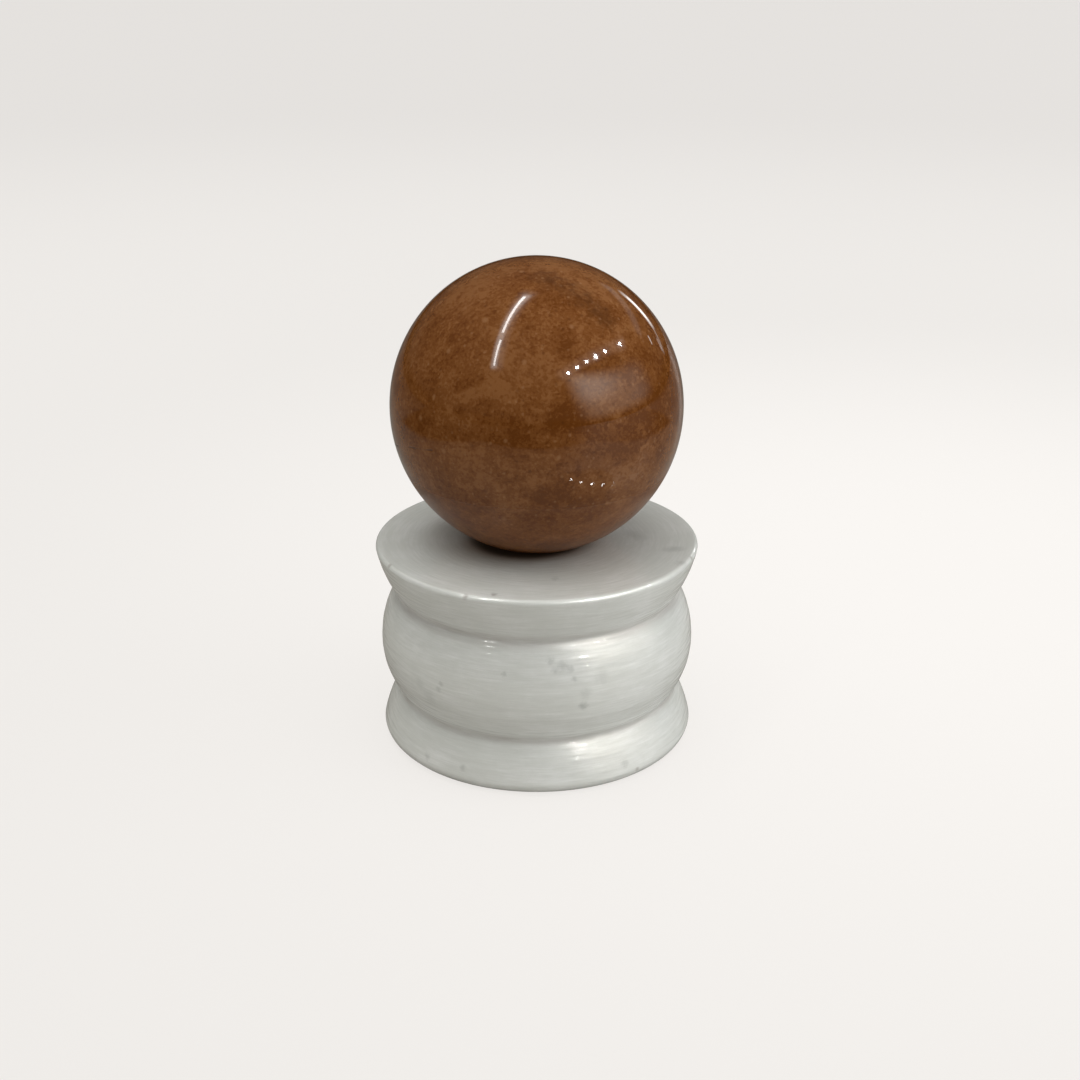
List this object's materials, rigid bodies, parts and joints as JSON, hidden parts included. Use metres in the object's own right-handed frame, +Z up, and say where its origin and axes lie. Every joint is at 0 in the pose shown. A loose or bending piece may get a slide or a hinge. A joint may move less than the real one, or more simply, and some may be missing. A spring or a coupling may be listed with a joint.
{
  "type": "decorative sphere",
  "caption": "Polished stone ball resting in the shallow seat of a low, turned and painted round stand with a foot, a swelling belly and a flared rim.",
  "frame": {"origin": "middle of the stand's flat underside", "axes": "+Z up, along the axis that the ball and the stand share"},
  "size_m": [0.054, 0.054, 0.0807],
  "materials": {
    "polished_stone": "polished",
    "pearl_paint": "satin"
  },
  "bodies": {
    "root": {"stone_ball": "polished_stone", "turned_stand": "pearl_paint"}
  },
  "joints": []
}
